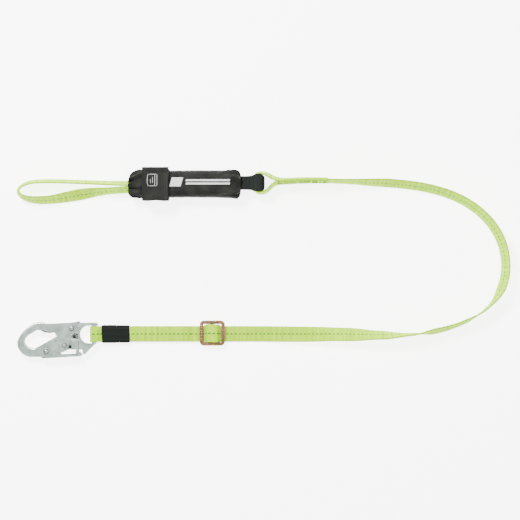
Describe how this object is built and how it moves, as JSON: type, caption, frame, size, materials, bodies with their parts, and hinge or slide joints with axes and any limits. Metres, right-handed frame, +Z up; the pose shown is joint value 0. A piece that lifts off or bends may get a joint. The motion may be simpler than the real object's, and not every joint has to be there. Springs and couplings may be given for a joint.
{
  "type": "shock absorbing lanyard",
  "caption": "Webbing safety lanyard with a covered energy absorber pack, a locking snap hook on an adjustable strap end and a soft web loop.",
  "frame": {"origin": "on the surface it lies on, at the middle of the rigid pieces: half way between the hook bowl and the black loop tip, and between the hook lever and the label seam", "axes": "+X from the hook towards the free bend of the strap, +Y from the hook side to the pack side, +Z up from the surface"},
  "size_m": [0.7969, 0.3073, 0.0351],
  "materials": {
    "hook_steel": "zinc plated",
    "spring_steel": "bright",
    "adjuster_zinc": "yellow zinc plated",
    "lime_webbing": "woven polyester",
    "black_webbing": "woven nylon",
    "cover_nylon": "woven nylon",
    "green_thread": "bonded thread",
    "label_fabric": "coated nylon",
    "label_paper": "printed label",
    "hook_tape": "hook and loop tape"
  },
  "bodies": {
    "lanyard": {"main_strap": "lime_webbing", "link_eye": "lime_webbing", "tab_stitching": "green_thread", "soft_loop": "lime_webbing", "absorber_loop": "black_webbing", "absorber_webbing": "black_webbing", "absorber_stitching": "green_thread", "hook_end_tack": "lime_webbing", "link_end_tack": "black_webbing", "pack_cover": "cover_nylon", "hook_end_gather": "cover_nylon", "link_end_gather": "cover_nylon", "label_band": "label_fabric", "label_seam": "label_fabric", "band_loop_patch": "hook_tape", "label_booklet": "label_paper"},
    "adjuster": {"adjuster_frame": "adjuster_zinc", "adjuster_centre_bar": "adjuster_zinc", "adjuster_strap": "lime_webbing", "strap_end": "lime_webbing", "strap_end_stitching": "green_thread"},
    "hook_end": {"hook_strap": "lime_webbing", "keeper_sleeve": "black_webbing"},
    "hook": {"hook_body": "hook_steel", "gate_pivot_rivet": "hook_steel", "lever_pivot_rivet": "hook_steel", "gate_spring": "spring_steel", "lever_spring": "spring_steel"},
    "gate": {"hook_gate": "hook_steel", "latch_pin": "hook_steel"},
    "lever": {"lock_lever": "hook_steel"},
    "flap": {"label_flap": "label_fabric", "flap_hook_patch": "hook_tape"}
  },
  "joints": [
    {"name": "adjuster_slide", "type": "slide", "parent": "lanyard", "child": "adjuster", "axis": [1, 0, 0], "range_m": [-0.08, 0.04], "deforming": ["main_strap"]},
    {"name": "hook_slide", "type": "slide", "parent": "adjuster", "child": "hook_end", "axis": [1, 0, 0], "range_m": [-0.02, 0.04], "deforming": ["hook_strap"]},
    {"name": "hook_swing", "type": "hinge", "parent": "hook_end", "child": "hook", "pos_m": [-0.0755, -0.1151, 0.009], "axis": [0, 1, 0], "range_deg": [0, 70]},
    {"name": "gate_swing", "type": "hinge", "parent": "hook", "child": "gate", "pos_m": [-0.1114, -0.1049, 0.009], "axis": [0, 0, 1], "range_deg": [0, 25], "stiffness_Nm_per_rad": 0.05, "springref_deg": -17.19},
    {"name": "lever_squeeze", "type": "hinge", "parent": "hook", "child": "lever", "pos_m": [-0.1521, -0.1423, 0.009], "axis": [0, 0, 1], "range_deg": [0, 8], "stiffness_Nm_per_rad": 0.05, "springref_deg": -17.19},
    {"name": "flap_lift", "type": "hinge", "parent": "lanyard", "child": "flap", "pos_m": [0.0247, 0.1459, 0.0345], "axis": [-1, 0, 0], "range_deg": [0, 120]}
  ],
  "couplings": [
    {"joint": "hook_slide", "follows": "adjuster_slide", "ratio": -0.5}
  ]
}
